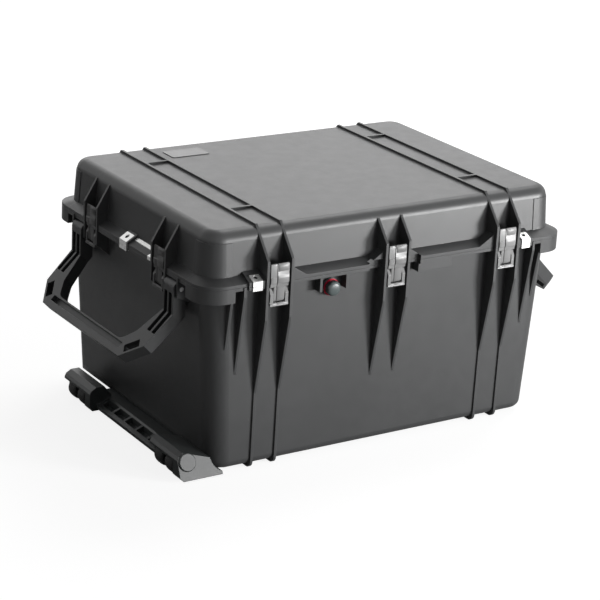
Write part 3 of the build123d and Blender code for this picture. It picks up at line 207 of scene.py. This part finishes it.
def floor_material():
    """Mid grey, paler in reflections, and lifted to white for the camera, more so far from the object."""
    material, tree, shader = new_material("floor", FLOOR_COLOUR, FLOOR_ROUGHNESS, specular=0.0)
    mirrored = ray_share(tree, "Glossy", "Transmission")
    tree.links.new(blend_colour(tree, mirrored, FLOOR_COLOUR, FLOOR_MIRRORED), shader.inputs["Base Color"])
    reach = tree.nodes.new("ShaderNodeVectorMath")
    reach.operation = "LENGTH"
    tree.links.new(object_place(tree), reach.inputs[0])
    lift = ramp(tree, reach.outputs["Value"], *FLOOR_FADE, FLOOR_LIFT, 1)
    shader.inputs["Emission Color"].default_value = (*WHITE, 1)
    seen_lift = combine(tree, "MULTIPLY", ray_share(tree, "Camera"), lift)
    tree.links.new(seen_lift, shader.inputs["Emission Strength"])
    return material


def make_floor():
    """Floor that takes the object's shadow, a hair below the feet so that no two faces share a plane."""
    half = FLOOR_SIZE / 2
    mesh = bpy.data.meshes.new("floor")
    corners = [(-half, -half, 0), (half, -half, 0), (half, half, 0), (-half, half, 0)]
    mesh.from_pydata(corners, [], [(0, 1, 2, 3)])
    mesh.materials.append(floor_material())
    floor = bpy.data.objects.new("floor", mesh)
    floor.location.z = -FLOOR_DROP
    bpy.context.scene.collection.objects.link(floor)


# -------------------------------------------------------------------- finishes
# Values of a noise pattern that count as its least and its most, for roughness and for colour clouds
PATTERN_SPREAD = (0.3, 0.7)
CLOUD_SPREAD = (0.35, 0.65)
# Cosine of the turn that softening gives a surface: on a corner, and where it is as good as flat
EDGE_TURN = (0.80, 0.985)
EDGE_SAMPLES = 4
# How many times finer the marks on steel are along X, Y and Z
BRUSHED = (1, 1, 14)
DRAWN = (1, 1, 1)


def scaled(colour, factor):
    return tuple(channel * factor for channel in colour)


def vary_roughness(tree, shader, pattern, roughness, less, more):
    """Roughness that wanders a little round its value, as a used surface's does."""
    wander = ramp(tree, pattern, *PATTERN_SPREAD, roughness - less, roughness + more)
    tree.links.new(wander, shader.inputs["Roughness"])


def rounded_edges(tree, radius):
    """Softened corners for the shading, and how strongly each spot is an edge, from 0 to 1."""
    rounding = tree.nodes.new("ShaderNodeBevel")
    rounding.samples = EDGE_SAMPLES
    rounding.inputs["Radius"].default_value = radius
    surface = tree.nodes.new("ShaderNodeNewGeometry")
    turn = tree.nodes.new("ShaderNodeVectorMath")
    turn.operation = "DOT_PRODUCT"
    tree.links.new(rounding.outputs["Normal"], turn.inputs[0])
    tree.links.new(surface.outputs["Normal"], turn.inputs[1])
    return rounding.outputs["Normal"], ramp(tree, turn.outputs["Value"], *EDGE_TURN, 1, 0)


def plastic(name, colour, roughness, grain=0.35, cloud=0.18, edge_highlight_and_wear=1.7, edge_radius=0.9):
    """Injection-moulded plastic: spark-eroded grain, flow clouds, rubbed patches, and edges painted paler as
    a painted highlight and as wear.
    """
    material, tree, shader = new_material(name, colour, roughness)
    clouds = ramp(tree, noise(tree, scale=6.0, detail=4.0), *CLOUD_SPREAD, 0, 1)
    body = blend_colour(tree, clouds, scaled(colour, 1 - cloud), scaled(colour, 1 + cloud))
    soft_edge, highlight_and_wear_mask = rounded_edges(tree, edge_radius * MM)
    # Every edge is painted paler by the edge factor: a painted highlight along the edge, and wear
    highlit_and_worn_body = blend_colour(tree, highlight_and_wear_mask, body, scaled(colour, edge_highlight_and_wear))
    tree.links.new(highlit_and_worn_body, shader.inputs["Base Color"])
    rub = noise(tree, scale=38.0, detail=5.0, roughness=0.65)
    vary_roughness(tree, shader, rub, roughness, less=0.02, more=0.03)
    waves = noise(tree, scale=260.0, detail=2.0)
    wavy = bump(tree, shader, waves, strength=grain / 2, distance=0.07 * MM, before=soft_edge)
    pits = noise(tree, scale=1400.0, detail=2.0)
    bump(tree, shader, pits, strength=grain, distance=0.12 * MM, before=wavy)
    return material


def steel(name, colour, roughness, stretch):
    """Steel with fine marks: level lines where it is brushed, even specks where it is drawn."""
    material, tree, shader = new_material(name, colour, roughness, metallic=1.0)
    stretched = tree.nodes.new("ShaderNodeMapping")
    stretched.inputs["Scale"].default_value = stretch
    tree.links.new(object_place(tree), stretched.inputs["Vector"])
    marks = noise(tree, scale=420.0, detail=3.0, roughness=0.5, place=stretched.outputs["Vector"])
    vary_roughness(tree, shader, marks, roughness, less=0.08, more=0.1)
    bump(tree, shader, marks, strength=0.15, distance=0.1 * MM)
    return material


def rubber(name, colour, roughness):
    """Matt rubber with a fine grain."""
    material, tree, shader = new_material(name, colour, roughness, specular=0.35)
    vary_roughness(tree, shader, noise(tree, scale=60.0, detail=4.0), roughness, less=0.08, more=0.08)
    bump(tree, shader, noise(tree, scale=900.0, detail=3.0), strength=0.3, distance=0.2 * MM)
    return material


# Each slot's maker, colour and settings; the edge factor of the plastics is how much paler their edges are
# painted, as a painted highlight and as wear
FINISHES = {
    "shell_black": (plastic, (0.046, 0.047, 0.048), dict(roughness=0.4, cloud=0.06, edge_highlight_and_wear=2.0)),
    "seal_black": (rubber, (0.012, 0.012, 0.012), dict(roughness=0.7)),
    "label_dark": (plastic, (0.02, 0.02, 0.02), dict(roughness=0.3, grain=0.1)),
    "pin_steel": (steel, (0.5, 0.5, 0.51), dict(roughness=0.35, stretch=DRAWN)),
    "hasp_steel": (steel, (0.82, 0.82, 0.81), dict(roughness=0.3, stretch=BRUSHED)),
    "handle_black": (plastic, (0.034, 0.035, 0.036), dict(roughness=0.4, edge_highlight_and_wear=2.2, edge_radius=1.4)),
    "bar_black": (plastic, (0.028, 0.031, 0.031), dict(roughness=0.4, edge_highlight_and_wear=2.2, edge_radius=1.4)),
    "valve_dark": (plastic, (0.085, 0.105, 0.105), dict(roughness=0.32, grain=0.15)),
    "ring_red": (rubber, (0.55, 0.01, 0.04), dict(roughness=0.5)),
    "latch_grey": (plastic, (0.21, 0.21, 0.21), dict(roughness=0.34, grain=0.2, edge_highlight_and_wear=1.5, edge_radius=0.7)),
    "latch_dark": (plastic, (0.07, 0.07, 0.07), dict(roughness=0.4, grain=0.2)),
    "hub_black": (plastic, (0.032, 0.032, 0.032), dict(roughness=0.4, grain=0.2)),
    "tyre_black": (rubber, (0.030, 0.030, 0.030), dict(roughness=0.7)),
}


# ---------------------------------------------------------------------- pieces
CREASE_ANGLE = radians(35)
MERGE_DISTANCE = 0.01 * MM


def link_piece(name, mesh, body, node):
    """Piece that rides on a CAD body and takes the finish of the CAD node that it dresses."""
    piece = bpy.data.objects.new(name, mesh)
    bpy.context.scene.collection.objects.link(piece)
    mesh.materials.append(finishes[slots[node]])
    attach(piece, body)
    return piece


def smooth_mesh(name, bm):
    """Finished mesh: smooth, but with creases kept sharp."""
    bmesh.ops.recalc_face_normals(bm, faces=bm.faces)
    for face in bm.faces:
        face.smooth = True
    for edge in bm.edges:
        if len(edge.link_faces) == 2 and edge.calc_face_angle(0) > CREASE_ANGLE:
            edge.smooth = False
    mesh = bpy.data.meshes.new(name)
    bm.to_mesh(mesh)
    bm.free()
    return mesh


def lathe(bm, centre, axis, profile, segments, ripple=None):
    """Surface turned round an axis, from (distance along it, radius) in millimetres."""
    across = axis.orthogonal().normalized()
    third = axis.cross(across)
    rings = []
    for along, radius in profile:
        ring = []
        for step in range(segments):
            angle = 2 * pi * step / segments
            reach = radius * (ripple(angle, along) if ripple else 1)
            offset = along * axis + reach * (cos(angle) * across + sin(angle) * third)
            ring.append(bm.verts.new(centre + offset * MM))
        rings.append(ring)
    for near, far in zip(rings, rings[1:]):
        for step in range(segments):
            after = (step + 1) % segments
            bm.faces.new((near[step], near[after], far[after], far[step]))


def close_profile(bm):
    """Join a turned surface's last ring to its first, where the profile ends as it began."""
    bmesh.ops.remove_doubles(bm, verts=bm.verts, dist=MERGE_DISTANCE)


def node_middle(node):
    low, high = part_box(node)
    return (Vector(low) + Vector(high)) / 2


# ---------------------------------------------------------------------- wheels
WHEELS = ("front_outer", "front_inner", "rear_inner", "rear_outer")
WHEEL_AXIS = Vector((0, 1, 0))
TYRE_SEGMENTS = 72
# One side of the section, as (distance from the tyre's middle, radius) in millimetres
TYRE_SIDE = [(13, 14.0), (13, 16.2), (12.2, 17.8), (10.4, 18.9), (7.5, 19.6), (4, 19.92)]


def make_tyre(wheel):
    """Crowned tyre with rounded shoulders."""
    other_side = [(-along, radius) for along, radius in TYRE_SIDE]
    profile = other_side + TYRE_SIDE[::-1] + other_side[:1]
    bm = bmesh.new()
    lathe(bm, node_middle("tyre_" + wheel), WHEEL_AXIS, profile, TYRE_SEGMENTS)
    close_profile(bm)
    mesh = smooth_mesh("crowned_tyre", bm)
    piece = link_piece("crowned_tyre_" + wheel, mesh, "wheel_" + wheel, "tyre_" + wheel)
    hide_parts("tyre_" + wheel)


# ----------------------------------------------------------------------- valve
VALVE_AXIS = Vector((0, -1, 0))
KNOB_SEGMENTS = 96
RING_SEGMENTS = 64
KNOB_PROFILE = [
    (-6, 11.5), (-6, 13.2), (-5, 13.9), (-1, 14.0), (2, 13.4), (4, 11.8), (5.3, 8.8), (5.9, 4.5), (6, 0.01),
]
RING_PROFILE = [
    (-1.5, 7.0), (-1.5, 14.7), (-0.9, 15.4), (0.6, 15.4), (1.5, 14.6), (1.5, 7.0), (-1.5, 7.0),
]
HOLLOWS = 8
# Depth as a share of the radius; end and fade in millimetres along the knob's axis
HOLLOW_DEPTH = 0.07
HOLLOW_END = 4.5
HOLLOW_FADE = 4


def knob_ripple(angle, along):
    """Shallow finger hollows that fade out towards the domed face."""
    hollow = 0.5 + 0.5 * cos(HOLLOWS * angle)
    fade = max(0.0, min(1.0, (HOLLOW_END - along) / HOLLOW_FADE))
    return 1 - HOLLOW_DEPTH * hollow ** 3 * fade


def make_valve_knob():
    """Domed knob with finger hollows round its side."""
    bm = bmesh.new()
    lathe(bm, node_middle("valve_knob"), VALVE_AXIS, KNOB_PROFILE, KNOB_SEGMENTS, knob_ripple)
    knob = link_piece("domed_valve_knob", smooth_mesh("domed_valve_knob", bm), "valve_knob", "valve_knob")
    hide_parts("valve_knob")


def make_valve_ring():
    """Soft ring with rounded outer corners."""
    bm = bmesh.new()
    lathe(bm, node_middle("valve_ring"), VALVE_AXIS, RING_PROFILE, RING_SEGMENTS)
    close_profile(bm)
    ring = link_piece("soft_valve_ring", smooth_mesh("soft_valve_ring", bm), "base", "valve_ring")
    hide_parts("valve_ring")


# --------------------------------------------------------------------- latches
OUTWARD = {"front": Vector((0, -1, 0)), "left": Vector((-1, 0, 0)), "right": Vector((1, 0, 0))}
# How far the CAD claw's face lies behind the fins' outer plane, in millimetres
CLAW_FACE_DEPTH = 1.0
# Rounding of the bars' ends, in millimetres, and how many faces it takes
LATCH_EDGE = 0.4
LATCH_EDGE_STEPS = 2
# Outlines of (depth behind the fins' outer plane, drop below the claw's top), in millimetres
CLAW_WIDE = [
    (5.0, 42.0), (2.2, 42.0), (2.2, 36.8), (1.7, 35.6), (0.3, 34.8), (0.2, 28.0), (0.3, 21.8),
    (1.3, 20.2), (1.3, 4.2), (1.7, 1.6), (2.6, 0.3), (3.8, 0.1), (5.0, 1.4),
]
CLAW_NARROW = [
    (5.0, 42.0), (2.2, 42.0), (2.2, 36.0), (0.8, 34.6), (0.7, 25.0), (1.9, 23.6), (1.9, 4.0),
    (2.5, 1.4), (3.8, 0.4), (5.0, 1.6),
]
CLAW_BACK = [(5.0, 42.0), (3.2, 42.0), (3.2, 2.0), (4.0, 1.2), (5.0, 1.8)]
CLAW_HOOK = [(5.0, 1.6), (8.0, 6.0), (8.0, 10.8), (4.5, 10.8), (4.5, 1.6)]
CLAW_PAD = [(1.6, 3.4), (0.9, 2.7), (0.5, 3.6), (0.45, 13.0), (0.9, 13.8), (1.6, 13.8)]
CLAW_TONGUE = [
    (5.0, 41.5), (2.2, 41.5), (2.2, 63.0), (3.0, 66.5), (5.0, 68.5), (10.0, 65.2), (10.0, 57.6), (5.0, 55.0),
]
LEVER_LIP = [(4.2, 76.2), (1.6, 76.6), (0.5, 75.6), (0.25, 73.2), (0.5, 71.0), (1.6, 69.8), (4.2, 69.6)]
# Each bar's outline, and its start and end to the sides of the latch's middle, in millimetres
CLAW_BARS = [
    (CLAW_NARROW, -18.0, -5.6),
    (CLAW_WIDE, -4.4, 18.0),
    (CLAW_BACK, -17.6, 17.6),
    (CLAW_HOOK, -17.8, 17.8),
    (CLAW_PAD, -2.6, 16.6),
    (CLAW_TONGUE, -11.4, -5.6),
    (CLAW_TONGUE, -4.4, 11.4),
]
LEVER_BARS = [(LEVER_LIP, -17.8, -5.4), (LEVER_LIP, -4.6, 17.8)]


def latch_place(bay):
    """Function from (across, depth, drop) on a latch, in millimetres, to the place on the case."""
    outward = OUTWARD[bay.split("_")[0]]
    along = (-outward).cross(UP)
    low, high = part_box("claw_" + bay)
    plane = max(Vector(low).dot(outward), Vector(high).dot(outward)) + CLAW_FACE_DEPTH * MM
    middle = node_middle("claw_" + bay).dot(along)

    def place(across, depth, drop):
        flat = outward * (plane - depth * MM) + along * (middle + across * MM)
        return Vector((flat.x, flat.y, high[2] - drop * MM))

    return place


def profile_bar(bm, place, outline, start, end):
    """Bar across a latch with a shaped side view and softened ends."""
    near = [bm.verts.new(place(start, depth, drop)) for depth, drop in outline]
    far = [bm.verts.new(place(end, depth, drop)) for depth, drop in outline]
    caps = [bm.faces.new(near), bm.faces.new(far[::-1])]
    for step in range(len(outline)):
        after = (step + 1) % len(outline)
        bm.faces.new((near[after], near[step], far[step], far[after]))
    rims = [edge for cap in caps for edge in cap.edges]
    bmesh.ops.bevel(
        bm, geom=rims, offset=LATCH_EDGE * MM, segments=LATCH_EDGE_STEPS, profile=0.5, affect="EDGES",
        clamp_overlap=True,
    )


def bars_mesh(name, bay, bars):
    """Mesh of several bars across the latch of a bay."""
    place = latch_place(bay)
    bm = bmesh.new()
    for outline, start, end in bars:
        profile_bar(bm, place, outline, start, end)
    return smooth_mesh(name, bm)


def make_claw(bay):
    """Moulded claw: two faces with a gap between, a back, a hook, a raised pad and two tongues."""
    mesh = bars_mesh("moulded_claw", bay, CLAW_BARS)
    claw = link_piece("moulded_claw_" + bay, mesh, "claw_" + bay, "claw_" + bay)
    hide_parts("claw_" + bay)


def make_lever_lip(bay):
    """Rounded lips along the foot of the lever, where fingers pull it."""
    mesh = bars_mesh("lever_lip", bay, LEVER_BARS)
    link_piece("lever_lip_" + bay, mesh, "lever_" + bay, "lever_" + bay)


# ----------------------------------------------------------------- whole scene
make_camera()
make_world()
make_floor()
for name, (place, target, size, power) in LIGHTS.items():
    area_light(name, place, target, size, power)

finishes = {slot: make(slot, colour, **settings) for slot, (make, colour, settings) in FINISHES.items()}
for node, slot in slots.items():
    for surface in nodes[node].material_slots:
        surface.material = finishes[slot]

for wheel in WHEELS:
    make_tyre(wheel)
make_valve_knob()
make_valve_ring()
for node in sorted(nodes):
    if node.startswith("claw_") and not node.startswith("claw_pin_"):
        bay = node.removeprefix("claw_")
        make_claw(bay)
        make_lever_lip(bay)

bpy.context.scene.view_settings.view_transform = "Standard"
